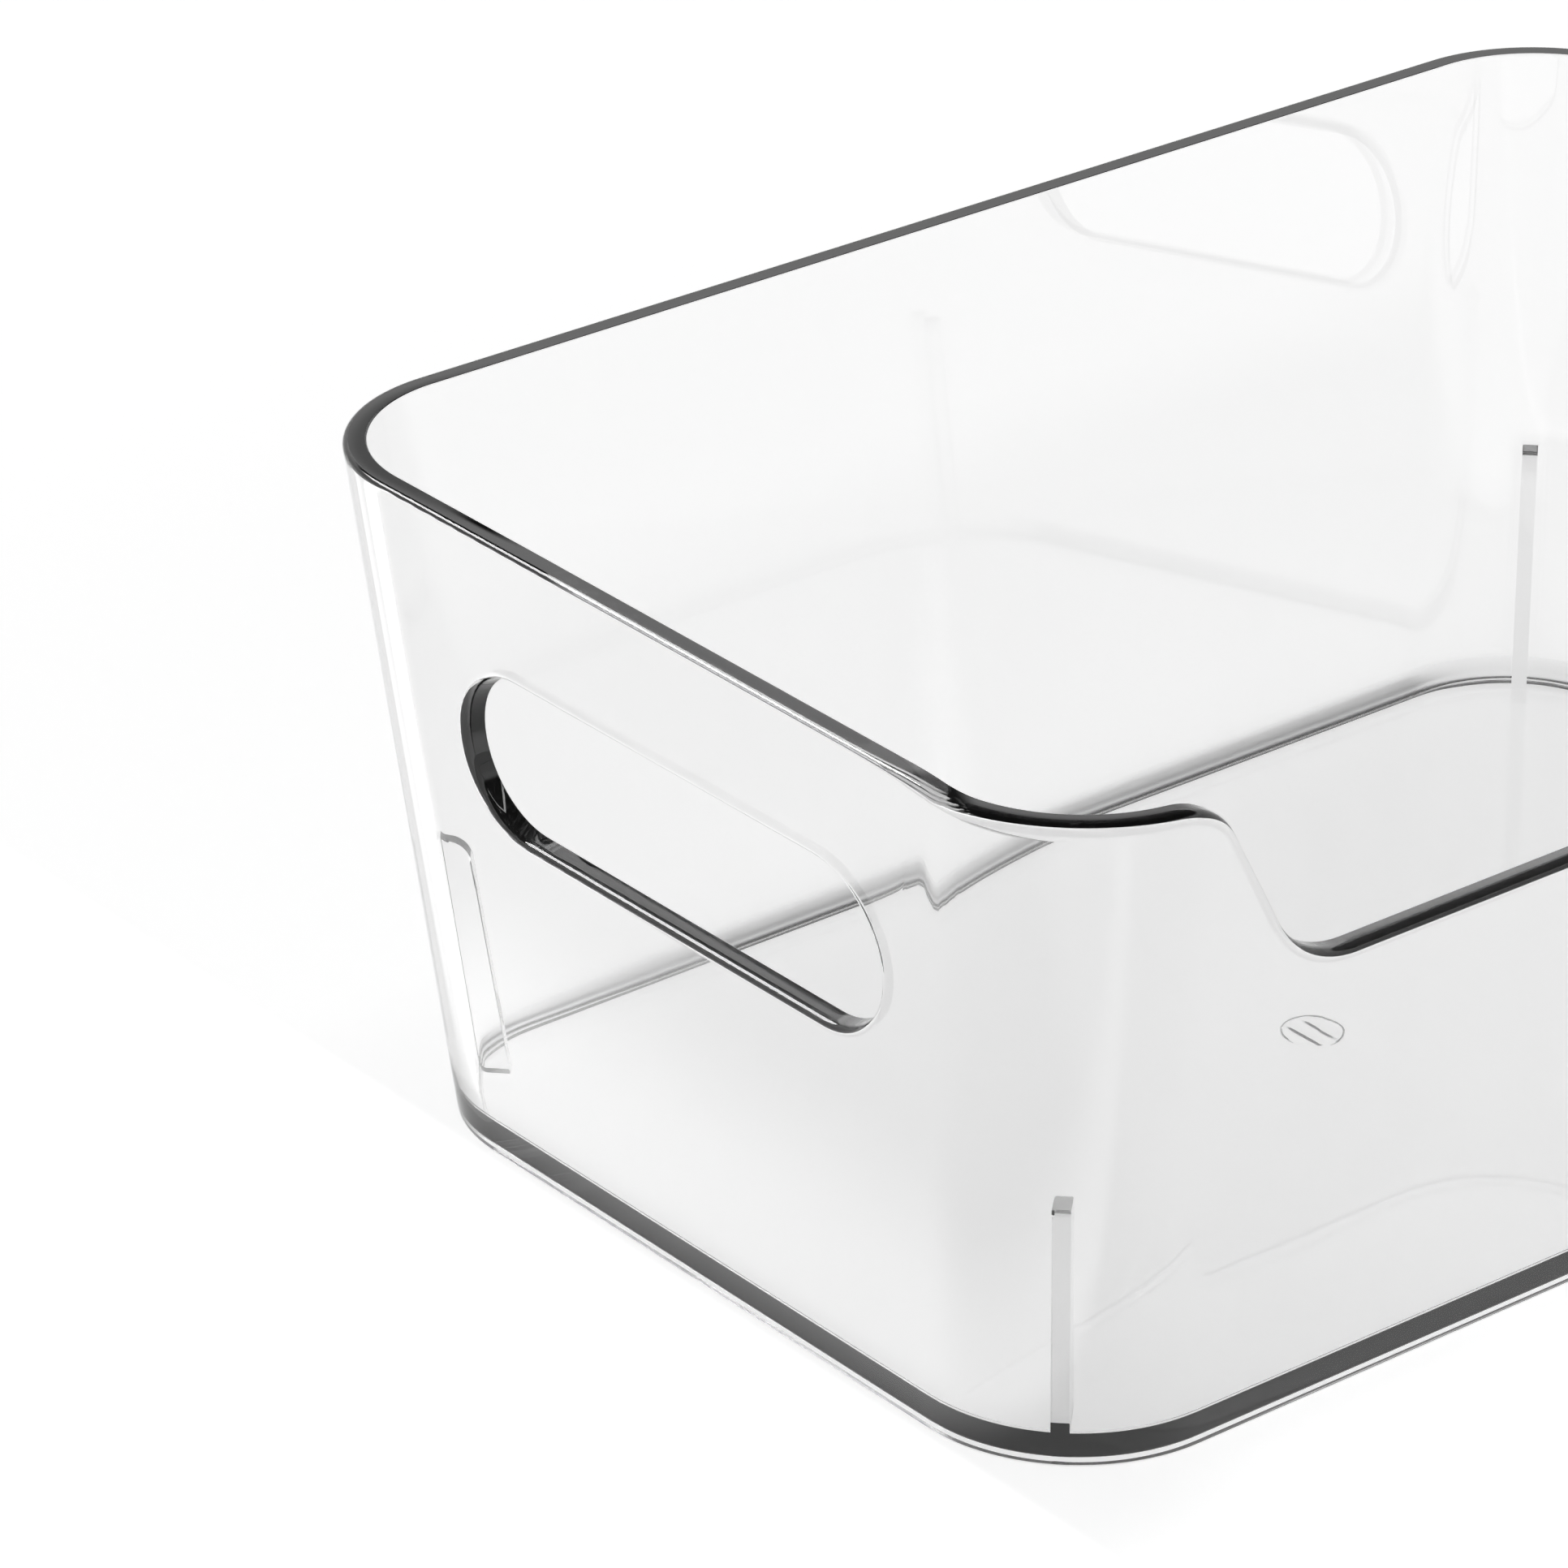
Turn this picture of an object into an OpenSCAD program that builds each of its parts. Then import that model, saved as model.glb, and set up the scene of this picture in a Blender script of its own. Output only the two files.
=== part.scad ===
// Clear fridge storage bin, one injection moulding.
// Units are millimetres. The origin is the middle of the footprint, at the plane the bin stands on.
// +X runs along the long side, the dipped front wall faces -Y, +Z is up.

/* [Output] */
// Which node to build. "all" shows the whole part.

/* [Outside] */
// Length over the rim, end wall to end wall.
length = 236; // [150:1:400]
// Width over the rim, front to back.
width = 162; // [100:1:300]
// Height from the surface it stands on to the rim, at the back.
height = 100; // [60:1:200]
// How much lower the rim is along the front wall.
front_drop = 1.2; // [0.4:0.1:4]
// How far each wall leans out between the foot and the rim.
lean = 9.7; // [2:0.1:20]
// Outer radius of the four upright corners.
corner_radius = 24.9; // [12:0.1:40]

/* [Plastic] */
// Wall thickness, measured level.
wall = 3.3; // [2:0.1:6]
// Floor thickness.
floor_thickness = 3.6; // [2:0.1:6]
// Height of the foot ring that stands proud under the floor.
foot_height = 0.8; // [0.4:0.1:3]
// Width of the foot ring, measured level.
foot_width = 3.3; // [2:0.1:8]

/* [Front dip] */
// Height of the low stretch of the front wall.
dip_height = 69.4; // [30:0.1:90]
// Half the length of the opening where its slopes would meet the rim.
dip_half_top = 91.1; // [40:0.1:110]
// Half the length of the low stretch where the slopes would meet it.
dip_half_bottom = 74; // [30:0.1:100]
// Radius at the top of each slope.
dip_top_radius = 12; // [3:0.5:25]
// Radius at the bottom of each slope.
dip_bottom_radius = 15; // [3:0.5:25]

/* [Handles] */
// Length of the handle slot.
slot_length = 86; // [60:1:120]
// Height of the handle slot.
slot_height = 24; // [18:0.5:40]
// Height of the middle of the slot above the surface it stands on.
slot_middle = 67.6; // [50:0.1:85]
// How far the middle of the slot sits in front of the middle of the end wall.
slot_forward = 0.9; // [0:0.1:10]

/* [Stacking fins] */
// Thickness of a fin.
fin_thickness = 2.3; // [1.5:0.1:4]
// How far a fin stands off the inside of its corner.
fin_reach = 6.3; // [4:0.1:10]
// Height of a fin's top above the surface it stands on.
fin_top = 40; // [20:1:80]
// Rounding of a fin's upper inner corner.
fin_rounding = 3.4; // [1:0.1:6]

/* [Gate mark] */
// Diameter of the shallow round gate mark under the middle of the floor.
gate_diameter = 9; // [4:0.1:15]
// How far the gate mark sits to the left of the middle of the floor.
gate_left = 1.3; // [0:0.1:10]
// Depth of the gate mark.
gate_depth = 0.4; // [0.2:0.1:2]

/* [Hidden] */
far = 400;                                 // larger than anything here
slope = lean / height;                     // sideways run of a wall per mm of height
half_length = length / 2;
half_width = width / 2;
lean_angle = atan(slope);                  // wall off the vertical
corner_tilt = atan(slope * sqrt(2));       // corner axis off the vertical
half_turn = acos(slope * slope / (1 + slope * slope)) / 2;  // half the angle between two wall normals
floor_top = foot_height + floor_thickness;
front_height = height - front_drop;        // rim height along the front wall
fall_share = 0.42;                         // share of the drop that comes before the ease
fall_from = half_width * 0.49;             // the rim is level behind this
ease_from = -half_width * 0.63;            // and falls a little faster between these two
ease_to = -half_width * 0.78;
corner_overlap = 0.02;                     // lets a round corner cross its walls instead of just touching them
$fn = 96;

// Level distance from a wall's outer face in to the corner axis.
function axis_inset(radius) = radius / cos(lean_angle);

// A tapered box with its four walls set in by inset, from low to high, sharp corners.
module sharp_block(inset, low, high) {
    x_low = half_length - inset - slope * (height - low);
    x_high = half_length - inset - slope * (height - high);
    y_low = half_width - inset - slope * (height - low);
    y_high = half_width - inset - slope * (height - high);
    intersection() {
        rotate([90, 0, 0])
            linear_extrude(height = 2 * far, center = true)
                polygon([[-x_low, low], [x_low, low], [x_high, high], [-x_high, high]]);
        rotate([90, 0, 90])
            linear_extrude(height = 2 * far, center = true)
                polygon([[-y_low, low], [y_low, low], [y_high, high], [-y_high, high]]);
    }
}

// What a round corner of this radius takes off the sharp corner at +X +Y.
module corner_cutter(inset, radius) {
    x_axis = half_length - inset - axis_inset(radius);
    y_axis = half_width - inset - axis_inset(radius);
    reach = 60;
    translate([x_axis, y_axis, height])
        rotate([0, corner_tilt, 45])
            translate([0, 0, -height * 1.3])
                linear_extrude(height = height * 1.6)
                    difference() {
                        polygon([[0, 0],
                                 [reach * cos(half_turn), -reach * sin(half_turn)],
                                 [reach * 1.6, 0],
                                 [reach * cos(half_turn), reach * sin(half_turn)]]);
                        circle(r = radius + corner_overlap);
                    }
}

// The same tapered box with round corners.
module round_block(inset, radius, low, high) {
    difference() {
        sharp_block(inset, low, high);
        corner_cutter(inset, radius);
        mirror([1, 0, 0]) corner_cutter(inset, radius);
        mirror([0, 1, 0]) corner_cutter(inset, radius);
        mirror([1, 0, 0]) mirror([0, 1, 0]) corner_cutter(inset, radius);
    }
}

// Points of the eased part of the rim line, seen along X, in short flats.
function rim_ease(flats) =
    [for (i = [0 : flats])
        let (t = i / flats)
            [ease_from + (ease_to - ease_from) * t,
             height - front_drop * (fall_share + (1 - fall_share) * t * t * (3 - 2 * t))]];

// What is cut away above the rim, which falls a little towards the front.
module rim_cutter() {
    rotate([90, 0, 90])
        linear_extrude(height = 2 * far, center = true)
            polygon(concat([[fall_from, height + 20], [fall_from, height]],
                           rim_ease(8),
                           [[-half_width - 20, front_height], [-half_width - 20, height + 20]]));
}

// A bar of this outline running the whole depth of the front wall, drawn in the X-Z plane.
module through_front() {
    translate([0, -half_width / 2, 0])
        rotate([90, 0, 0])
            linear_extrude(height = half_width) children();
}

// Points of the right-hand upper round, from the slope up to the rim, in short flats.
function upper_round(x_axis, z_axis, turn, flats) =
    [for (i = [0 : flats])
        let (a = 90 + turn * (1 - i / flats))
            [x_axis + dip_top_radius * cos(a), z_axis + dip_top_radius * sin(a)]];

// The same points on the left-hand side, from the rim down to the slope.
function mirrored(points) =
    [for (i = [0 : len(points) - 1])
        let (p = points[len(points) - 1 - i]) [-p[0], p[1]]];

// What is cut away above the low stretch of the front wall.
module dip_cutter() {
    turn = atan2(front_height - dip_height, dip_half_top - dip_half_bottom);
    top_tangent = dip_top_radius * tan(turn / 2);
    bottom_tangent = dip_bottom_radius * tan(turn / 2);
    top_axis = dip_half_top + top_tangent;              // middle of each upper round
    bottom_axis = dip_half_bottom - bottom_tangent;     // middle of each lower round
    right_round = upper_round(top_axis, front_height - dip_top_radius, turn, 10);
    union() {
        through_front()
            polygon(concat([[-bottom_axis, dip_height], [bottom_axis, dip_height],
                            [dip_half_bottom + bottom_tangent * cos(turn),
                             dip_height + bottom_tangent * sin(turn)]],
                           right_round,
                           [[top_axis, height + 20], [-top_axis, height + 20]],
                           mirrored(right_round),
                           [[-dip_half_bottom - bottom_tangent * cos(turn),
                             dip_height + bottom_tangent * sin(turn)]]));
        for (side = [-1, 1])
            through_front()
                translate([side * bottom_axis, dip_height + dip_bottom_radius])
                    circle(r = dip_bottom_radius);
    }
}

// Stadium outline of a handle slot, lying in the X-Y plane.
module slot_outline() {
    radius = slot_height / 2;
    square([slot_length - slot_height, slot_height], center = true);
    for (side = [-1, 1])
        translate([side * (slot_length / 2 - radius), 0]) circle(r = radius);
}

// One upright fin in the corner at +X +Y, on the corner's bisector.
module stacking_fin() {
    x_axis = half_length - axis_inset(corner_radius);
    y_axis = half_width - axis_inset(corner_radius);
    run = slope * sqrt(2);                          // lean along the bisector
    skin = corner_radius / cos(corner_tilt);        // axis out to the outer skin, level
    inner = skin - wall;                            // axis out to the inner skin, level
    root = floor_top - 1.5;                         // reaches down into the floor
    translate([x_axis, y_axis, 0])
        rotate([0, 0, 45])
            rotate([90, 0, 0])
                linear_extrude(height = fin_thickness, center = true)
                    difference() {
                        polygon([[inner - fin_reach - run * (height - root), root],
                                 [inner + 1.5 - run * (height - root), root],
                                 [inner + 1.5 - run * (height - fin_top), fin_top],
                                 [inner - fin_reach - run * (height - fin_top), fin_top]]);
                        difference() {
                            polygon([[inner - fin_reach - run * (height - fin_top) - 1, fin_top + 1],
                                     [inner - fin_reach - run * (height - fin_top) + fin_rounding,
                                      fin_top + 1],
                                     [inner - fin_reach - run * (height - fin_top) + fin_rounding,
                                      fin_top - fin_rounding],
                                     [inner - fin_reach - run * (height - fin_top + fin_rounding) - 1,
                                      fin_top - fin_rounding]]);
                            translate([inner - fin_reach - run * (height - fin_top) + fin_rounding
                                       - run * fin_rounding, fin_top - fin_rounding])
                                circle(r = fin_rounding);
                        }
                    }
}

// The whole moulding.
module bin() {
    color("lightcyan")
        difference() {
            union() {
                difference() {
                    round_block(0, corner_radius, 0, height);
                    // the inside, above the floor
                    round_block(wall, corner_radius - wall, floor_top, height + 5);
                    // the hollow inside the foot ring
                    round_block(foot_width, corner_radius - foot_width, -5, foot_height);
                }
                stacking_fin();
                mirror([1, 0, 0]) stacking_fin();
                mirror([0, 1, 0]) stacking_fin();
                mirror([1, 0, 0]) mirror([0, 1, 0]) stacking_fin();
            }
            // fall of the rim towards the front
            rim_cutter();
            // low stretch of the front wall
            dip_cutter();
            // a handle slot through both end walls
            translate([0, -slot_forward, slot_middle])
                rotate([90, 0, 90])
                    linear_extrude(height = 2 * far, center = true) slot_outline();
            // gate mark in the underside
            translate([-gate_left, 0, foot_height - 1])
                cylinder(d = gate_diameter, h = 1 + gate_depth);
        }
}

bin();
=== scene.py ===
import math

import bmesh
import bpy
from mathutils import Matrix, Vector
from mathutils.geometry import delaunay_2d_cdt


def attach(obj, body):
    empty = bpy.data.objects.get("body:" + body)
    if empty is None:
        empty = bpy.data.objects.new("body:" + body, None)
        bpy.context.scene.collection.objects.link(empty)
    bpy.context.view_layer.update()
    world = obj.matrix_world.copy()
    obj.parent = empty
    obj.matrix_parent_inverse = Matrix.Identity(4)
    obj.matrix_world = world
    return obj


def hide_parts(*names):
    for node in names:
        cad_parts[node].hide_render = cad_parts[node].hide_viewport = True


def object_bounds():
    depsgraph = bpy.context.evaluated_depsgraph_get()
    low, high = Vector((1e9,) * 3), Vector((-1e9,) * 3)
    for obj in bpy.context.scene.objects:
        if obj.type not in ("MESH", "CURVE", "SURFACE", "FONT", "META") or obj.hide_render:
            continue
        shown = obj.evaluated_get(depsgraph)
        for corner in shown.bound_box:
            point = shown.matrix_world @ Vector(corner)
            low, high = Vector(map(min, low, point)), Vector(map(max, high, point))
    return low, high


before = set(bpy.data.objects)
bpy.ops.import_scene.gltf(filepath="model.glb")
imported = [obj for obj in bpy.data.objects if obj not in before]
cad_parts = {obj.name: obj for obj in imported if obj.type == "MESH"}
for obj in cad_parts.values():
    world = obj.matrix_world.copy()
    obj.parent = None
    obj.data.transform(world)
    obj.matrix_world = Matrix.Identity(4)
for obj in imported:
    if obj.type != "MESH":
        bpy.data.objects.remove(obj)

cad_low, cad_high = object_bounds()

# ---------------------------------------------------------------- sizes, in millimetres
MM = 0.001
HALF_LENGTH, HALF_WIDTH, HEIGHT = (round(value / MM, 1) for value in cad_high)     # over the rim
LEAN = 9.7                    # how far each wall leans out over the full height
CORNER_RADIUS = 24.9
WALL = 3.3
FOOT_HEIGHT = 0.8
FLOOR_TOP = 4.4
FOOT_WIDTH = 3.3
FLOOR_ROUND = 3.0             # inside round between floor and wall, at the back and right
NEAR_FLOOR_ROUND = 0.8        # the same at the front and left
FOOT_ROUND = 0.7              # round under the outer edge
FOOT_INNER_ROUND = 0.35       # rounds on the inner side of the foot ring
RIM_OUTER_ROUND = 0.85        # on the end walls and the back
FRONT_OUTER_ROUND = 1.7       # the rim of the front wall is rounder
RIM_INNER_ROUND = 0.2
SLOT_OUTER_ROUND = 1.35
SLOT_INNER_ROUND = 0.3
SLOT_DRAFT = 0.3              # how much the slot narrows towards the inside of the wall

FRONT_HEIGHT = 98.8           # rim height along the front wall
EASE_HEIGHT = 99.5            # rim height on the end walls where the ease down to the front starts
FALL_FROM = 39.7              # the rim is level behind this y
FALL_POWER = 1.2              # the fall starts gently
EASE_FROM, EASE_TO = -51.0, -63.2    # the ease starts and ends at these y
ROUNDER_FROM = -40.0          # the rim starts to get rounder in front of this y
STEEP_RIM, LEVEL_RIM = 0.9, 0.97    # how level the rim is where the painted shade on its top starts, and where it is full

DIP_HEIGHT = 69.4
DIP_HALF_TOP = 91.1
DIP_HALF_BOTTOM = 74.0
DIP_TOP_RADIUS = 12.0
DIP_BOTTOM_RADIUS = 15.0

SLOT_LENGTH = 86.0
SLOT_HEIGHT = 24.0
SLOT_MIDDLE = 67.6
SLOT_FORWARD = 0.9            # how far the slot's middle sits in front of the wall's middle

FIN_THICKNESS = 2.3
FIN_REACH = 6.3
FIN_TOP = 40.0
FIN_ROUNDING = 3.4
FIN_EDGE = 0.18               # small edge all round a fin
FIN_ROOT = 1.2                # how far a fin reaches into the floor and the corner

GATE_X = -1.3
GATE_RADIUS = 4.5
GATE_DEPTH = 0.4
# The gate mark's edge, from the underside up to its roof: how far out from its radius, and how far up.
GATE_EDGE = ((0.2, 0.0), (0.05, 0.06), (-0.02, 0.2), (-0.06, 0.2), (-0.2, GATE_DEPTH))
RIDGE_DROP = 0.2              # how far the ridges in the gate mark's roof hang down
# Each ridge: how far right of the mark's middle it runs, how wide it is, and its share of the drop.
GATE_RIDGES = ((-1.6, 0.55, 1.0), (1.5, 0.7, 0.8))

SLOPE = LEAN / HEIGHT
CORNER_SLOPE = SLOPE * math.sqrt(2.0)
TILT = math.atan(CORNER_SLOPE)                               # of a corner's axis, off the vertical
HALF_TURN = math.acos(SLOPE ** 2 / (1 + SLOPE ** 2)) / 2     # half the angle between two wall normals
AXIS_INSET = CORNER_RADIUS / math.cos(math.atan(SLOPE))      # level distance from a wall to the corner axis
LEVEL_RADIUS = CORNER_RADIUS / math.cos(TILT)                # along a corner's diagonal, measured level
TANGENT_SHIFT = (LEVEL_RADIUS * math.cos(HALF_TURN) - CORNER_RADIUS * math.sin(HALF_TURN)) / math.sqrt(2)
CORNER_ARC = CORNER_RADIUS * HALF_TURN                       # from a wall to the middle of its corner

# How finely the shape is divided.
CORNER_STEPS = 22             # from a wall to the middle of its corner
FLAT_STEPS = 8                # along the flat part of a wall
ARC_STEPS = 6                 # in each small edge round
FOOT_INNER_STEPS = 4          # in each round on the inner side of the foot ring
FLOOR_ROUND_STEPS = 10        # in the round between wall and floor
DIP_STEPS = 16                # in each round of the dip
FRONT_RIM_STEPS = 18          # along the front rim, from a corner to the dip
SLOT_STEPS = 28               # round each end of a slot
ROOF_STEPS = 12               # rings in the gate mark's roof
FIN_ROUND_STEPS = 14          # in the round at a fin's top
SHARP_EDGE = 32               # degrees between two faces, past which the edge is shaded sharp
EASE_MARKS = (39, 40, 45, 48, *range(50, 56))    # extra places where the rim eases down, this far along
WELDED = 0.0005               # points closer than this are one point
MERGED = 0.00001              # the same, while triangles are made
TINY = 0.000001               # allowance for rounding
RULING_GAP = 0.6              # a ruling ends this far below the wall's top edge
RULING_FOOT = 0.5             # and starts this far above its bottom edge
RULING_STEP = 0.2             # its end is looked for in steps of this
FLAT_GUARD = 1.0              # the first ruling is this far inside the flat part

# One chart per wall: its outward direction, its direction of travel, the distance from the middle
# of the bin to the wall's outer face, and half its length, both at the rim.
CHARTS = {
    "back": (Vector((0, 1, 0)), Vector((-1, 0, 0)), HALF_WIDTH, HALF_LENGTH),
    "left": (Vector((-1, 0, 0)), Vector((0, -1, 0)), HALF_LENGTH, HALF_WIDTH),
    "front": (Vector((0, -1, 0)), Vector((1, 0, 0)), HALF_WIDTH, HALF_LENGTH),
    "right": (Vector((1, 0, 0)), Vector((0, 1, 0)), HALF_LENGTH, HALF_WIDTH),
}


def clamp(value):
    return max(0.0, min(1.0, value))


def smooth(value):
    """An eased step from 0 to 1 as the value goes from 0 to 1."""
    t = clamp(value)
    return t * t * (3 - 2 * t)


def flat_half(chart, z):
    """Half the length of the flat part of a wall at height z."""
    return CHARTS[chart][3] - AXIS_INSET + TANGENT_SHIFT - SLOPE * (HEIGHT - z)


def skin(chart, along, z, depth):
    """A point of the wall: along it from its middle, at height z, and depth in from the outer face.

    Past the flat part, along goes on round the corner.
    """
    out, travel, reach, _ = CHARTS[chart]
    flat = flat_half(chart, z)
    face = reach - SLOPE * (HEIGHT - z)
    up = Vector((0, 0, z))
    if abs(along) <= flat:
        return travel * along + out * (face - depth) + up
    side = 1.0 if along > 0 else -1.0
    turned = (abs(along) - flat) / CORNER_RADIUS        # radians past the wall's own tangent line
    phi = HALF_TURN - turned                            # from the corner's middle back to this point
    diagonal = (out + travel * side).normalized()
    across = (out - travel * side).normalized()
    spoke = diagonal * (LEVEL_RADIUS * math.cos(phi)) + across * (CORNER_RADIUS * math.sin(phi))
    shift = TANGENT_SHIFT * (1 - depth / AXIS_INSET * phi / HALF_TURN)
    axis = travel * (side * (flat - shift)) + out * (face - AXIS_INSET)
    return axis + spoke * (1 - depth / AXIS_INSET) + up


class Builder:
    """Collects points and faces, and joins points that coincide."""

    def __init__(self):
        self.points, self.faces, self.seen = [], [], {}
        self.marks = {}                     # for each kind of mark, how strong it is at each point

    def mark(self, kind, p, strength):
        """Gives a point a strength of some kind, which the mesh keeps as an attribute."""
        self.marks.setdefault(kind, {})[self.point(p)] = strength

    def point(self, p):
        key = tuple(round(value / WELDED) for value in p)
        if key not in self.seen:
            self.seen[key] = len(self.points)
            self.points.append(p.copy())
        return self.seen[key]

    def face(self, corners):
        ids = [self.point(p) for p in corners]
        ids = [v for i, v in enumerate(ids) if v != ids[i - 1]]
        if len(ids) > 2 and len(set(ids)) == len(ids):
            self.faces.append(ids)

    def strip(self, first, second, flip=False):
        """Quads between two rows of as many points."""
        for i in range(len(first) - 1):
            quad = [first[i], first[i + 1], second[i + 1], second[i]]
            self.face(quad[::-1] if flip else quad)


def arc(centre, radius, start, end, steps):
    """Points on an arc, angles in degrees."""
    return [Vector((centre[0] + radius * math.cos(math.radians(start + (end - start) * i / steps)),
                    centre[1] + radius * math.sin(math.radians(start + (end - start) * i / steps))))
            for i in range(steps + 1)]


def with_normals(points, closed):
    """Each point of a line with its left-hand normal, from its neighbours."""
    made = []
    for i, p in enumerate(points):
        before = points[i - 1] if i > 0 or closed else p
        after = points[(i + 1) % len(points)] if i + 1 < len(points) or closed else p
        t = (after - before).normalized()
        made.append((p, Vector((-t.y, t.x))))
    return made


def corner_marks(chart, z):
    """Positions along a wall at height z for the steps round half of each corner, and along the flat."""
    flat = flat_half(chart, z)
    turn = [CORNER_ARC * i / CORNER_STEPS for i in range(1, CORNER_STEPS + 1)]
    flats = [flat * (2 * i / FLAT_STEPS - 1) for i in range(FLAT_STEPS + 1)]
    return [-flat - t for t in reversed(turn)] + flats + [flat + t for t in turn]


def rim_height(y):
    """Height of the rim: level at the back, falling a little to the front wall."""
    if y > EASE_FROM:
        fallen = max(0.0, (FALL_FROM - y) / (FALL_FROM - EASE_FROM))
        return HEIGHT - (HEIGHT - EASE_HEIGHT) * fallen ** FALL_POWER
    return EASE_HEIGHT - (EASE_HEIGHT - FRONT_HEIGHT) * smooth((EASE_FROM - y) / (EASE_FROM - EASE_TO))


def dip_line():
    """The front wall's top edge from its left corner's middle to its right one's, as (along, z)."""
    run, rise = DIP_HALF_TOP - DIP_HALF_BOTTOM, FRONT_HEIGHT - DIP_HEIGHT
    turn = math.degrees(math.atan2(rise, run))
    top_axis = DIP_HALF_TOP + DIP_TOP_RADIUS * math.tan(math.radians(turn / 2))
    bottom_axis = DIP_HALF_BOTTOM - DIP_BOTTOM_RADIUS * math.tan(math.radians(turn / 2))
    upper = arc((-top_axis, FRONT_HEIGHT - DIP_TOP_RADIUS), DIP_TOP_RADIUS, 90, 90 - turn, DIP_STEPS)
    lower = arc((-bottom_axis, DIP_HEIGHT + DIP_BOTTOM_RADIUS), DIP_BOTTOM_RADIUS, 270 - turn, 270,
                DIP_STEPS)
    end = -flat_half("front", FRONT_HEIGHT) - CORNER_ARC
    rim = [Vector((end + (-top_axis - end) * i / FRONT_RIM_STEPS, FRONT_HEIGHT))
           for i in range(FRONT_RIM_STEPS)]
    left = rim + upper + lower
    low = [Vector((-bottom_axis * (1 - share), DIP_HEIGHT)) for share in (0.25, 0.5, 0.75)]
    right = [Vector((-p.x, p.y)) for p in reversed(left)]
    middle = [Vector((0, DIP_HEIGHT))] + [Vector((-p.x, p.y)) for p in reversed(low)]
    return left + low + middle + right


def top_line(chart):
    """A wall's top edge from one corner's middle to the next one's, as (along, z)."""
    if chart == "front":
        return dip_line()
    if chart == "back":
        return [Vector((a, HEIGHT)) for a in corner_marks(chart, HEIGHT)]
    towards_front = 1 if chart == "left" else -1
    marks = corner_marks(chart, HEIGHT)
    marks += [towards_front * ease for ease in EASE_MARKS]
    flat = flat_half(chart, HEIGHT)
    line = []
    for along in sorted(marks):
        z = rim_height(skin(chart, along, HEIGHT, 0.0).y)
        if abs(along) > flat - TINY:        # round a corner: keep this far past the flat part, lower down
            along -= math.copysign(flat - flat_half(chart, z), along)
        line.append(Vector((along, z)))
    return line


def slot_line(chart):
    """The handle slot's throat, anticlockwise, as (along, z)."""
    r = SLOT_HEIGHT / 2
    half = SLOT_LENGTH / 2 - r
    middle = SLOT_FORWARD if chart == "left" else -SLOT_FORWARD
    right = arc((middle + half, SLOT_MIDDLE), r, -90, 90, SLOT_STEPS)
    left = arc((middle - half, SLOT_MIDDLE), r, 90, 270, SLOT_STEPS)
    return right + left


def lip_profile(outer_round, inner_round, draft=0.0):
    """Across a wall's edge from its outer face to its inner one, as (distance back from the edge, depth)."""
    outer = arc((outer_round, outer_round), outer_round, 270, 180, ARC_STEPS)
    inner = arc((inner_round - draft, WALL - inner_round), inner_round, 180, 90, ARC_STEPS)
    return outer + inner


def inside(point, loop):
    """Is a point inside a closed line of points?"""
    hit = False
    for i, a in enumerate(loop):
        b = loop[i - 1]
        if (a.y > point.y) != (b.y > point.y):
            if point.x < (b.x - a.x) * (point.y - a.y) / (b.y - a.y) + a.x:
                hit = not hit
    return hit


def nearest(point, line):
    """Distance from a point to an open line of points."""
    distances = []
    for a, b in zip(line, line[1:]):
        span = b - a
        share = clamp((point - a).dot(span) / max(span.length_squared, TINY ** 2))
        distances.append((point - a - span * share).length)
    return min(distances)


def rulings(chart, outline, low):
    """Straight lines up a wall, round each corner and just inside its flat part, as pairs of ends.

    Triangles that follow them keep the corners round and the flat part's shading flat.
    """
    top = [p for p in outline if p.y > low + TINY]
    # how far past the flat part's end each ruling stands
    pasts = [-FLAT_GUARD] + [CORNER_ARC * step / CORNER_STEPS for step in range(CORNER_STEPS)]
    pairs = []
    for past in pasts:
        for side in (-1, 1):

            def at(z):
                return Vector((side * (flat_half(chart, z) + past), z))

            high = HEIGHT - RULING_GAP
            while high > low and (nearest(at(high), top) < RULING_GAP or not inside(at(high), outline)):
                high -= RULING_STEP
            pairs.append((at(low + RULING_FOOT), at(high)))
    return pairs


def triangles(loops, pairs=()):
    """Triangles inside the first loop and outside the others, with edges along the pairs."""
    points, edges = [], []
    for loop in loops:
        start = len(points)
        points.extend(p.copy() for p in loop)
        edges.extend((start + i, start + (i + 1) % len(loop)) for i in range(len(loop)))
    for pair in pairs:
        edges.append((len(points), len(points) + 1))
        points.extend(pair)
    made = delaunay_2d_cdt(points, edges, [], 0, MERGED)
    for ids in made[2]:
        corners = [made[0][i] for i in ids]
        middle = sum(corners, Vector((0, 0))) / 3
        if inside(middle, loops[0]) and not any(inside(middle, hole) for hole in loops[1:]):
            yield corners


def fill_chart(builder, chart, outline, holes, low, depth, flip):
    """Triangles over one skin of a wall."""
    for flat in triangles([outline] + holes, rulings(chart, outline, low)):
        corners = [skin(chart, p.x, p.y, depth) for p in flat]
        builder.face(corners if flip else corners[::-1])


def follow_ruling(chart, p, q):
    """Moves q, a point set back from the edge point p, so that round a corner it stays on p's ruling."""
    flat = flat_half(chart, p.y)
    share = clamp((abs(p.x) - flat) / CORNER_ARC)
    slide = share * (flat_half(chart, q.y) - flat)
    return Vector((q.x + slide * math.copysign(1.0, p.x), q.y))


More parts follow.
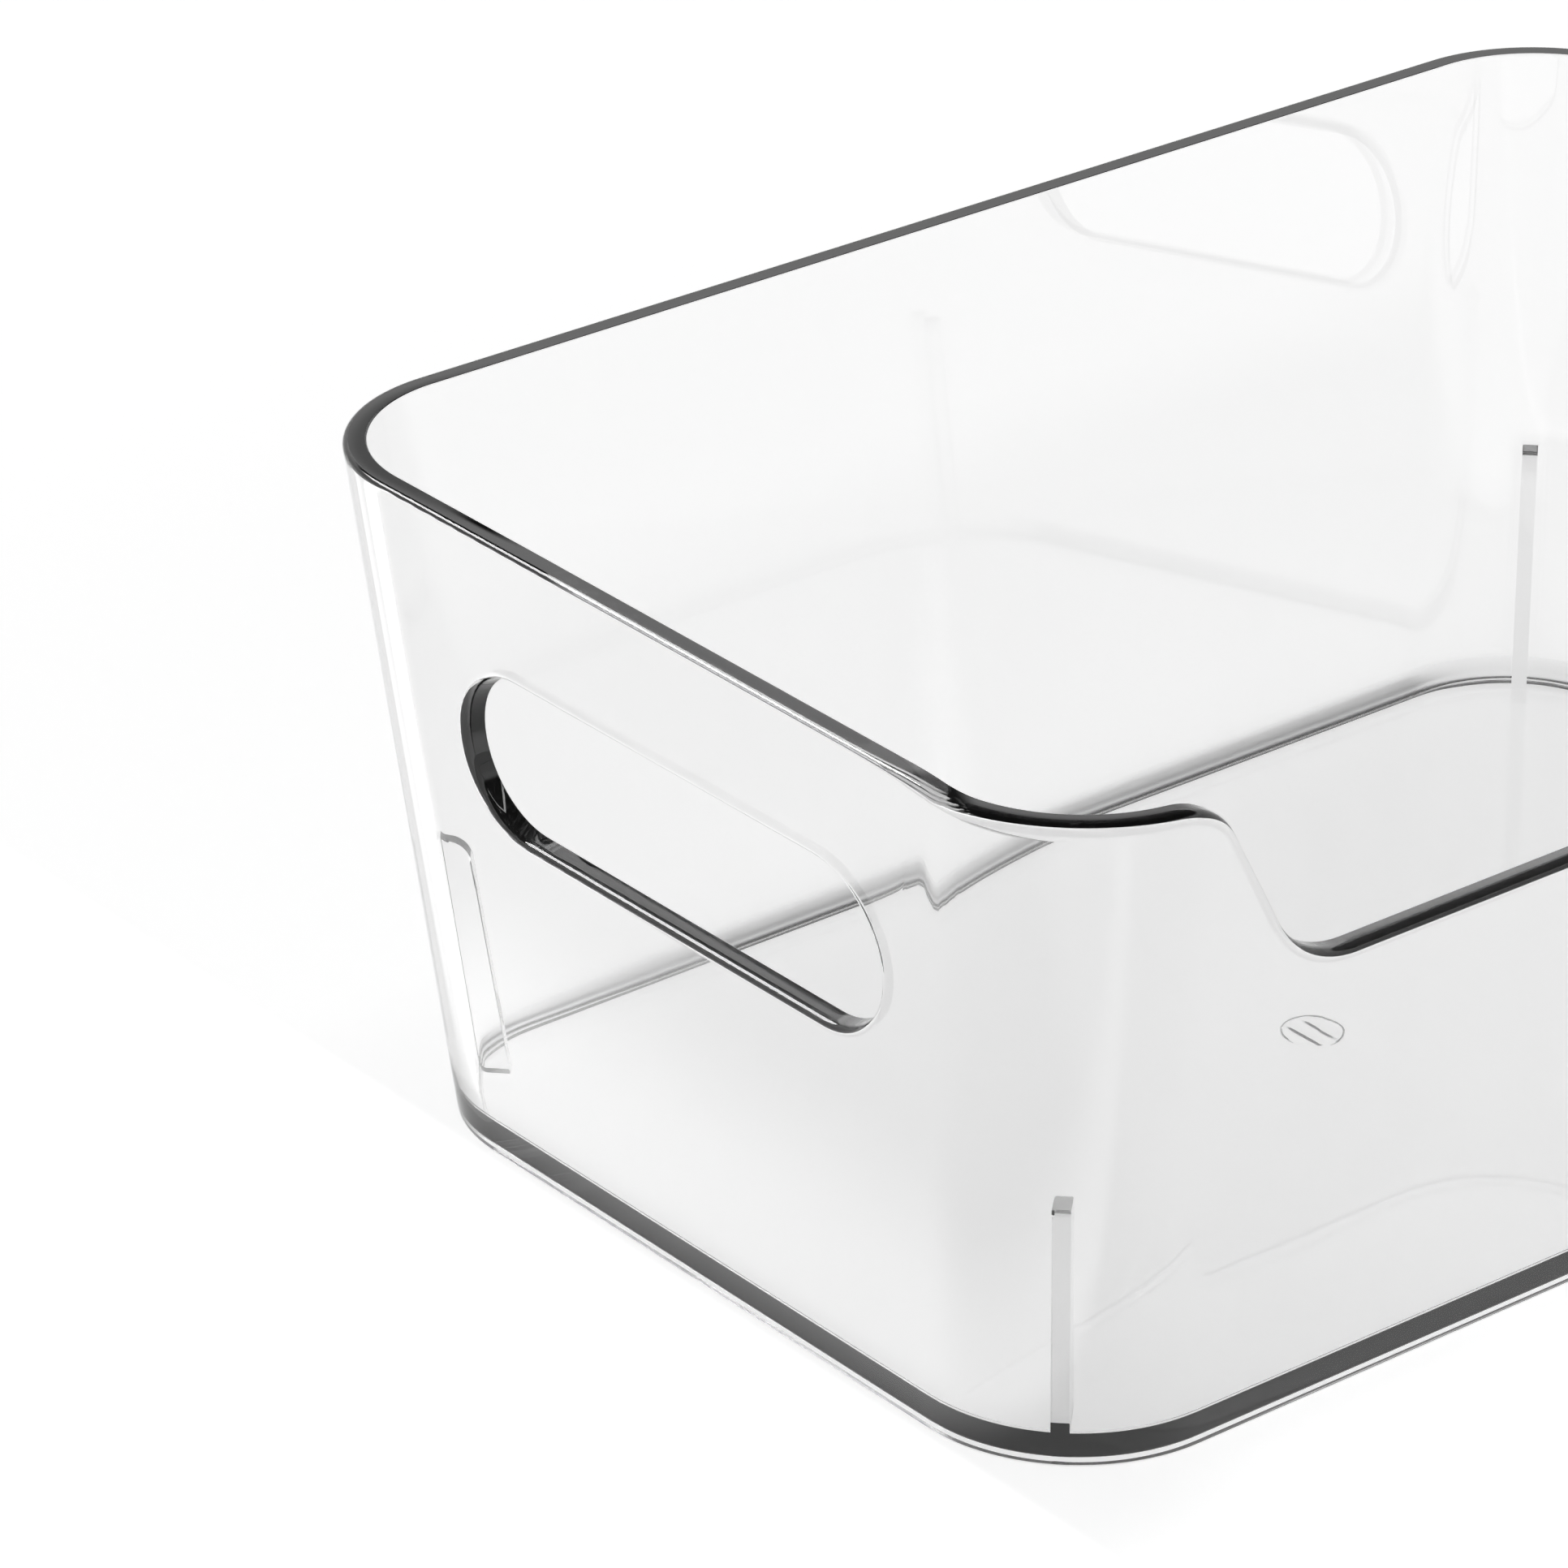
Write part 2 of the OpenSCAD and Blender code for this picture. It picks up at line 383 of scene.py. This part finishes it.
def rim_profile(chart, along, z):
    """The lip profile of the rim at this place."""
    y = skin(chart, along, z, 0.0).y
    rounder = smooth((ROUNDER_FROM - y) / (ROUNDER_FROM - EASE_TO))
    outer_round = RIM_OUTER_ROUND + (FRONT_OUTER_ROUND - RIM_OUTER_ROUND) * rounder
    return lip_profile(outer_round, RIM_INNER_ROUND)


def build_strips(builder, rows, flip=False):
    for first, second in zip(rows, rows[1:]):
        builder.strip(first, second, flip)


def build_rim(builder, chart):
    """The top edge of a wall. Gives its two border lines, on the outer face and on the inner one."""
    edge = [(p, -n) for p, n in with_normals(top_line(chart), closed=False)]     # towards the plastic
    profiles = [rim_profile(chart, p.x, p.y) for p, n in edge]
    rows = [[(follow_ruling(chart, p, p + n * profile[k].x), profile[k].y)
             for (p, n), profile in zip(edge, profiles)] for k in range(len(profiles[0]))]
    solid = [[skin(chart, q.x, q.y, depth) for q, depth in row] for row in rows]
    build_strips(builder, solid)
    # the level top lies between these two rows and is marked for painted shade; the dip's low stretch gets
    # none
    for (p, n), *level in zip(edge, solid[ARC_STEPS], solid[ARC_STEPS + 1]):
        if p.y > FRONT_HEIGHT - 1:
            for q in level:
                builder.mark("rim_top_painted_shade", q, clamp((-n.y - STEEP_RIM) / (LEVEL_RIM - STEEP_RIM)))
    return [q for q, _ in rows[0]], [q for q, _ in rows[-1]]


def build_slot(builder, chart):
    """The edge of a handle slot. Gives its two border loops, on the outer face and on the inner one."""
    hole = [(p, -n) for p, n in with_normals(slot_line(chart), closed=True)]     # away from the opening
    profile = lip_profile(SLOT_OUTER_ROUND, SLOT_INNER_ROUND, SLOT_DRAFT)
    rings = [[(p + n * back, depth) for p, n in hole] for back, depth in profile]
    solid = [[skin(chart, q.x, q.y, depth) for q, depth in ring + ring[:1]] for ring in rings]
    build_strips(builder, solid, flip=True)
    return [q for q, _ in rings[0]], [q for q, _ in rings[-1]]


def build_walls(builder):
    for chart in CHARTS:
        rims = build_rim(builder, chart)
        slots = build_slot(builder, chart) if chart in ("left", "right") else None
        skins = ((0.0, FOOT_ROUND), (WALL, FLOOR_TOP + FLOOR_ROUND))     # depth and lowest z of each
        for i, (depth, low) in enumerate(skins):
            base = [Vector((along, low)) for along in corner_marks(chart, low)]
            outline = base + rims[i][::-1]
            fill_chart(builder, chart, outline, [slots[i]] if slots else [], low, depth, flip=depth > 0)


def ring_rows(profile):
    """Closed rows of points round the bin, one for each (depth, z)."""
    rows = []
    for depth, z in profile:
        row = []
        for chart in CHARTS:
            row += [skin(chart, a, z, depth) for a in corner_marks(chart, z)][:-1]
        rows.append(row + row[:1])
    return rows


def fill_plane(builder, loop, inner, z, upward):
    """A level face between a closed row of points and a closed ring inside it."""
    for flat in triangles([[p.xy for p in loop], [p.xy for p in inner]]):
        corners = [Vector((p.x, p.y, z)) for p in flat]
        builder.face(corners if upward else corners[::-1])


def circle_row(radius, z, steps=64):
    """Points round a level circle about the origin's upright."""
    return [Vector((radius * math.cos(math.tau * i / steps), radius * math.sin(math.tau * i / steps), z))
            for i in range(steps)]


def gate_ridge(x, y):
    """How far the gate mark's roof hangs down at this place: two soft ridges that fade towards its edge."""
    ridges = sum(share * math.exp(-((x - middle) / width) ** 2) for middle, width, share in GATE_RIDGES)
    return RIDGE_DROP * ridges * (1 - (math.hypot(x, y) / GATE_RADIUS) ** 4)


def floor_round_row(builder, turn):
    """One row of the inside round, turned this far down from the wall. It is wider at the back and right."""
    row = []
    for chart in CHARTS:
        for mark in corner_marks(chart, FLOOR_TOP)[:-1]:
            p = skin(chart, mark, FLOOR_TOP, WALL)
            far = clamp(0.5 + (p.x / HALF_LENGTH + p.y / HALF_WIDTH) * 2)     # 0 front left, 1 back right
            radius = NEAR_FLOOR_ROUND + (FLOOR_ROUND - NEAR_FLOOR_ROUND) * far
            z = FLOOR_TOP + radius * (1 - math.sin(turn))
            share = min(1.0, abs(mark) / flat_half(chart, FLOOR_TOP))
            along = mark + math.copysign(SLOPE * (z - FLOOR_TOP), mark) * share
            p = skin(chart, along, z, WALL + radius * (1 - math.cos(turn)))
            builder.mark("inside_round", p, far * math.sin(2 * turn))
            row.append(p)
    return row + row[:1]


def foot_profile():
    """The foot ring from the wall's outer face to the recess under the floor, as (depth, z)."""
    outer = arc((FOOT_ROUND, FOOT_ROUND), FOOT_ROUND, 180, 270, ARC_STEPS)
    r = FOOT_INNER_ROUND
    edge = arc((FOOT_WIDTH - r, r), r, -90, 0, FOOT_INNER_STEPS)
    recess = arc((FOOT_WIDTH + r, FOOT_HEIGHT - r), r, 180, 90, FOOT_INNER_STEPS)
    return outer + edge + recess


def gate_rings():
    """Rings of the gate mark, a shallow round pocket in the underside, from its edge in to its roof."""
    profile = [(GATE_RADIUS + out, rise) for out, rise in GATE_EDGE]
    roof = profile[-1][0]
    profile += [(roof * (1 - i / ROOF_STEPS), GATE_DEPTH) for i in range(1, ROOF_STEPS)]
    rings = []
    for radius, rise in profile:
        ring = circle_row(radius, FOOT_HEIGHT + rise)
        for p in ring:
            if rise == GATE_DEPTH:
                p.z -= gate_ridge(p.x, p.y)
            p.x += GATE_X
        rings.append(ring)
    return rings


def build_floor(builder):
    turns = [math.radians(90 * i / FLOOR_ROUND_STEPS) for i in range(FLOOR_ROUND_STEPS + 1)]
    rows = ring_rows([(WALL, FLOOR_TOP + FLOOR_ROUND)]) + [floor_round_row(builder, turn) for turn in turns]
    build_strips(builder, rows)
    under = ring_rows(foot_profile())
    build_strips(builder, under, flip=True)
    rings = gate_rings()
    centre = circle_row(radius=0.01, z=FLOOR_TOP, steps=3)      # a speck, where the floor's triangles meet
    fill_plane(builder, rows[-1][:-1], centre, FLOOR_TOP, True)
    builder.face(centre)
    fill_plane(builder, under[-1][:-1], rings[0], FOOT_HEIGHT, False)
    build_strips(builder, [ring + ring[:1] for ring in rings], flip=True)
    builder.face(rings[-1][::-1])


def new_object(name, builder):
    """A closed mesh object, in metres, from what a builder collected."""
    mesh = bpy.data.meshes.new(name)
    mesh.from_pydata([p * MM for p in builder.points], [], builder.faces)
    for kind, strengths in builder.marks.items():
        layer = mesh.attributes.new(kind, "FLOAT", "POINT")
        for i, strength in strengths.items():
            layer.data[i].value = strength
    shape = bmesh.new()
    shape.from_mesh(mesh)
    bmesh.ops.remove_doubles(shape, verts=shape.verts, dist=2 * WELDED * MM)
    bmesh.ops.recalc_face_normals(shape, faces=shape.faces)
    shape.to_mesh(mesh)
    shape.free()
    made = bpy.data.objects.new(name, mesh)
    bpy.context.scene.collection.objects.link(made)
    return made


def fin_object(out_x, out_y):
    """The fin of the corner on these sides, reaching a little into wall and floor so that it joins them."""
    diagonal = Vector((out_x, out_y, 0)).normalized()
    across = Vector((-out_y, out_x, 0)).normalized()
    axis = Vector((out_x * (HALF_LENGTH - AXIS_INSET), out_y * (HALF_WIDTH - AXIS_INSET), 0))
    inner = LEVEL_RADIUS * (1 - WALL / AXIS_INSET)              # from the corner axis to the inner skin
    root = FLOOR_TOP - FIN_ROOT

    def at(reach, z):
        return Vector((inner + reach - CORNER_SLOPE * (HEIGHT - z), z))

    round_axis = (at(-FIN_REACH, FIN_TOP).x + FIN_ROUNDING, FIN_TOP - FIN_ROUNDING)
    outline = [at(-FIN_REACH, root), at(FIN_ROOT, root), at(FIN_ROOT, FIN_TOP)]
    outline += arc(round_axis, FIN_ROUNDING, 90, 180 - math.degrees(TILT), FIN_ROUND_STEPS)
    centre = sum(outline, Vector((0, 0))) / len(outline)
    half = FIN_THICKNESS / 2
    builder = Builder()
    rows = []
    for side, pull in ((-half, FIN_EDGE), (-half + FIN_EDGE, 0.0), (half - FIN_EDGE, 0.0), (half, FIN_EDGE)):
        row = []
        for p in outline:
            in_view = p.x < at(0.0, p.y).x and p.y > FLOOR_TOP
            q = p + (centre - p).normalized() * pull if in_view else p
            row.append(axis + diagonal * q.x + across * side + Vector((0, 0, q.y)))
        rows.append(row + row[:1])
    build_strips(builder, rows)
    builder.face(rows[0][-2::-1])
    builder.face(rows[-1][:-1])
    return new_object("fin", builder)


def add_modifier(obj, kind, **values):
    made = obj.modifiers.new(kind.lower(), kind)
    for name, value in values.items():
        setattr(made, name, value)
    return made


def bake(obj):
    """Turns an object's modifiers into plain mesh."""
    graph = bpy.context.evaluated_depsgraph_get()
    mesh = bpy.data.meshes.new_from_object(obj.evaluated_get(graph), depsgraph=graph)
    obj.modifiers.clear()
    obj.data = mesh


def build_bin():
    """The whole moulding: walls and floor in one skin, with the four fins joined to it."""
    builder = Builder()
    build_walls(builder)
    build_floor(builder)
    shell = new_object("clear_bin", builder)
    fins = [fin_object(x, y) for x in (-1, 1) for y in (-1, 1)]
    for fin in fins:
        add_modifier(shell, "BOOLEAN", object=fin, operation="UNION", solver="EXACT")
    bake(shell)
    for fin in fins:
        bpy.data.objects.remove(fin)
    for face in shell.data.polygons:
        face.use_smooth = True
    shell.data.set_sharp_from_angle(angle=math.radians(SHARP_EDGE))
    add_modifier(shell, "WEIGHTED_NORMAL", mode="FACE_AREA", weight=50, keep_sharp=True)
    bake(shell)
    return shell


# ---------------------------------------------------------------- materials
PLASTIC_IOR = 1.57
ABSORPTION = 24.0             # per metre
VOLUME_COLOUR = 0.5
POLISH = 0.02                 # roughness of the polished skin at its most uneven
POLISH_SCALE = 700.0
ROUND_ROUGHNESS = 0.6         # roughness of the round between wall and floor
WAVE_HEIGHT = 0.0000006       # metres
WAVE_SCALE = 55.0
# painted shade: the base colour of the rim's level top, nearly black
RIM_PAINTED_SHADE = 0.01

FLOOR_COLOUR = 0.8
FLOOR_GLOW = 0.72             # under the bin; each glow below adds to it on one side
LEFT_GLOW = 0.95
LEFT_GLOW_AWAY = 0.30
FRONT_GLOW = 0.56
FAR_GLOW = 0.04               # on the right and at the back
# Where each glow starts and is full, in millimetres out from the rim.
LEFT_EDGE = (-10.0, -2.0)
LEFT_FADE = (4.0, 34.0)       # from the left glow to what is left of it further away
FRONT_EDGE = (-8.0, 60.0)
FAR_EDGE = (-12.0, 20.0)


def add_node(tree, kind, **settings):
    made = tree.nodes.new(kind)
    for name, value in settings.items():
        setattr(made, name, value)
    return made


def noise(tree, place, scale, detail):
    made = add_node(tree, "ShaderNodeTexNoise")
    made.inputs["Scale"].default_value = scale
    made.inputs["Detail"].default_value = detail
    tree.links.new(place, made.inputs["Vector"])
    return made.outputs["Fac"]


def math_node(tree, operation, first, second, third=None):
    made = add_node(tree, "ShaderNodeMath", operation=operation)
    for socket, value in zip(made.inputs, (first, second, third)):
        if isinstance(value, (int, float)):
            socket.default_value = value
        elif value is not None:
            tree.links.new(value, socket)
    return made.outputs[0]


def smooth_node(tree, value, edge, first, last):
    """Goes smoothly from first to last as the value goes from one end of the edge to the other."""
    made = add_node(tree, "ShaderNodeMapRange", interpolation_type="SMOOTHSTEP")
    for name, setting in zip(("From Min", "From Max", "To Min", "To Max"), (*edge, first, last)):
        made.inputs[name].default_value = setting
    tree.links.new(value, made.inputs["Value"])
    return made.outputs["Result"]


def new_material(name):
    made = bpy.data.materials.new(name)
    made.use_nodes = True
    return made, made.node_tree, made.node_tree.nodes["Principled BSDF"]


def clear_plastic():
    made, tree, shader = new_material("clear_plastic")
    link = tree.links.new
    shader.inputs["Transmission Weight"].default_value = 1.0
    shader.inputs["IOR"].default_value = PLASTIC_IOR
    place = add_node(tree, "ShaderNodeTexCoord").outputs["Object"]

    # polish: fine unevenness everywhere, and a softer finish on the round between wall and floor
    soft = add_node(tree, "ShaderNodeAttribute", attribute_name="inside_round").outputs["Fac"]
    grain = math_node(tree, "MULTIPLY", noise(tree, place, POLISH_SCALE, detail=3.0), POLISH)
    link(math_node(tree, "MULTIPLY_ADD", soft, ROUND_ROUGHNESS, grain), shader.inputs["Roughness"])

    # faint waviness left by the mould
    bump = add_node(tree, "ShaderNodeBump")
    bump.inputs["Strength"].default_value = 1.0
    bump.inputs["Distance"].default_value = WAVE_HEIGHT
    link(noise(tree, place, WAVE_SCALE, detail=2.0), bump.inputs["Height"])
    link(bump.outputs["Normal"], shader.inputs["Normal"])

    # painted shade: the level top of the rim is coloured nearly black, so that hardly any light comes up
    # through it from inside the wall
    rim = add_node(tree, "ShaderNodeAttribute", attribute_name="rim_top_painted_shade").outputs["Fac"]
    painted_shade = add_node(tree, "ShaderNodeMix", data_type="RGBA")
    link(rim, painted_shade.inputs["Factor"])
    painted_shade.inputs["A"].default_value = (1, 1, 1, 1)
    painted_shade.inputs["B"].default_value = (RIM_PAINTED_SHADE, RIM_PAINTED_SHADE, RIM_PAINTED_SHADE, 1)
    link(painted_shade.outputs["Result"], shader.inputs["Base Color"])

    absorb = add_node(tree, "ShaderNodeVolumeAbsorption")
    absorb.inputs["Color"].default_value = (VOLUME_COLOUR, VOLUME_COLOUR, VOLUME_COLOUR, 1)
    absorb.inputs["Density"].default_value = ABSORPTION / (1 - VOLUME_COLOUR)
    link(absorb.outputs["Volume"], tree.nodes["Material Output"].inputs["Volume"])
    return made


def pale_floor():
    """A matt floor that glows a little, and more beside and in front of the bin."""
    made, tree, shader = new_material("pale_floor")
    shader.inputs["Base Color"].default_value = (FLOOR_COLOUR, FLOOR_COLOUR, FLOOR_COLOUR, 1)
    shader.inputs["Roughness"].default_value = 1.0
    shader.inputs["Specular IOR Level"].default_value = 0.0
    shader.inputs["Emission Color"].default_value = (1, 1, 1, 1)
    parts = add_node(tree, "ShaderNodeSeparateXYZ")
    tree.links.new(add_node(tree, "ShaderNodeTexCoord").outputs["Object"], parts.inputs[0])

    def glow(axis, side, edge, first, last):
        rim = HALF_LENGTH if axis == "X" else HALF_WIDTH
        places = [side * (rim + out) * MM for out in edge]
        return smooth_node(tree, parts.outputs[axis], places, first, last)

    left = glow("X", -1, LEFT_EDGE, 0.0, 1.0)
    sides = (math_node(tree, "MULTIPLY", left, glow("X", -1, LEFT_FADE, LEFT_GLOW, LEFT_GLOW_AWAY)),
             glow("Y", -1, FRONT_EDGE, 0.0, FRONT_GLOW),
             glow("X", 1, FAR_EDGE, 0.0, FAR_GLOW),
             glow("Y", 1, FAR_EDGE, 0.0, FAR_GLOW))
    extra = 0.0
    for side in sides:
        extra = math_node(tree, "MAXIMUM", extra, side)
    tree.links.new(math_node(tree, "ADD", extra, FLOOR_GLOW), shader.inputs["Emission Strength"])
    return made


# ---------------------------------------------------------------- the object
bin_body = build_bin()
bin_body.data.materials.clear()
bin_body.data.materials.append(clear_plastic())
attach(bin_body, "root")
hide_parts("bin")

# ---------------------------------------------------------------- stage
FLOOR_SIZE = 12.0             # metres
FLOOR_DROP = 0.0001           # metres under the foot, so that the two don't touch
BACKDROP = 1.1                # radiance of the studio's backdrop, round the horizon
CEILING = 0.08                # radiance of the studio above it
FADE_EDGE = (0.47, 0.56)      # height on a unit sphere where the backdrop fades into the ceiling
LOW_EDGE = (0.35, 0.44)       # height where the backdrop is at its full strength again
LOW_SHARE = 0.8               # its strength below that
# Two dimmer patches in the backdrop, which the back left of the rim reflects: the direction of each,
# where its core ends and where its soft edge ends, and the share of light left in the core.
DIM_PATCHES = (((0.5380, 0.7293, 0.4227), (0.001, 0.009), 0.03),
               ((0.5289, 0.7409, 0.4141), (0.004, 0.024), 0.5))
SOFTBOX_TOWARDS = (-0.28, 0.70, 0.64)
SOFTBOX_DISTANCE = 3.0        # metres
SOFTBOX_SIZE = (1.6, 0.75)    # metres
SOFTBOX_STRENGTH = 12.0


def studio_world():
    """A pale backdrop round the horizon under a dim ceiling."""
    made = bpy.data.worlds.new("studio")
    made.use_nodes = True
    tree = made.node_tree
    place = add_node(tree, "ShaderNodeTexCoord").outputs["Generated"]
    parts = add_node(tree, "ShaderNodeSeparateXYZ")
    tree.links.new(place, parts.inputs[0])
    high = smooth_node(tree, parts.outputs["Z"], FADE_EDGE, BACKDROP, CEILING)
    low = smooth_node(tree, parts.outputs["Z"], LOW_EDGE, LOW_SHARE, 1.0)
    light = math_node(tree, "MULTIPLY", high, low)
    for towards, edge, left_over in DIM_PATCHES:
        away = add_node(tree, "ShaderNodeVectorMath", operation="DISTANCE")
        tree.links.new(place, away.inputs[0])
        away.inputs[1].default_value = towards
        light = math_node(tree, "MULTIPLY", light,
                          smooth_node(tree, away.outputs["Value"], edge, left_over, 1.0))
    shade = tree.nodes["Background"]
    shade.inputs["Color"].default_value = (1, 1, 1, 1)
    tree.links.new(light, shade.inputs["Strength"])
    return made


def softbox():
    """A glowing panel that faces the bin, and is only seen reflected in it."""
    bpy.ops.mesh.primitive_plane_add(size=1.0)
    panel = bpy.context.object
    panel.name = "softbox"
    away = Vector(SOFTBOX_TOWARDS).normalized()
    panel.location = away * SOFTBOX_DISTANCE
    panel.rotation_euler = away.to_track_quat("Z", "Y").to_euler()
    panel.scale = (*SOFTBOX_SIZE, 1)
    glow, _, shader = new_material("softbox_glow")
    shader.inputs["Base Color"].default_value = (0, 0, 0, 1)
    shader.inputs["Specular IOR Level"].default_value = 0.0
    shader.inputs["Emission Color"].default_value = (1, 1, 1, 1)
    shader.inputs["Emission Strength"].default_value = SOFTBOX_STRENGTH
    panel.data.materials.append(glow)
    panel.visible_camera = False
    panel.visible_diffuse = False
    return panel


bpy.ops.mesh.primitive_plane_add(size=FLOOR_SIZE, location=(0, 0, -FLOOR_DROP))
floor = bpy.context.object
floor.name = "floor"
floor.data.materials.append(pale_floor())
softbox()

scene = bpy.context.scene
scene.world = studio_world()
scene.view_settings.view_transform = "Standard"
# Clear plastic needs many bounces: light crosses wall after wall.
scene.cycles.max_bounces = 40
scene.cycles.transmission_bounces = 40
scene.cycles.glossy_bounces = 24
scene.cycles.diffuse_bounces = 4

# ---------------------------------------------------------------- camera
AZIMUTH, ELEVATION = -38.72, 26.73                              # degrees
LENS, SENSOR = 181.76, 36.0
CAMERA_PLACE = Vector((-668.33, -715.60, 532.39))


def view_axes(azimuth, elevation):
    """A camera's right, up and backward directions."""
    back = Vector((math.sin(azimuth) * math.cos(elevation),
                   -math.cos(azimuth) * math.cos(elevation),
                   math.sin(elevation)))
    right = Vector((math.cos(azimuth), math.sin(azimuth), 0))
    return Matrix((right, back.cross(right), back)).transposed()


camera_data = bpy.data.cameras.new("camera")
camera_data.lens = LENS
camera_data.sensor_width = SENSOR
camera_data.clip_end = 100.0
camera = bpy.data.objects.new("camera", camera_data)
scene.collection.objects.link(camera)
turn = view_axes(math.radians(AZIMUTH), math.radians(ELEVATION))
camera.matrix_world = Matrix.Translation(CAMERA_PLACE * MM) @ turn.to_4x4()
scene.camera = camera
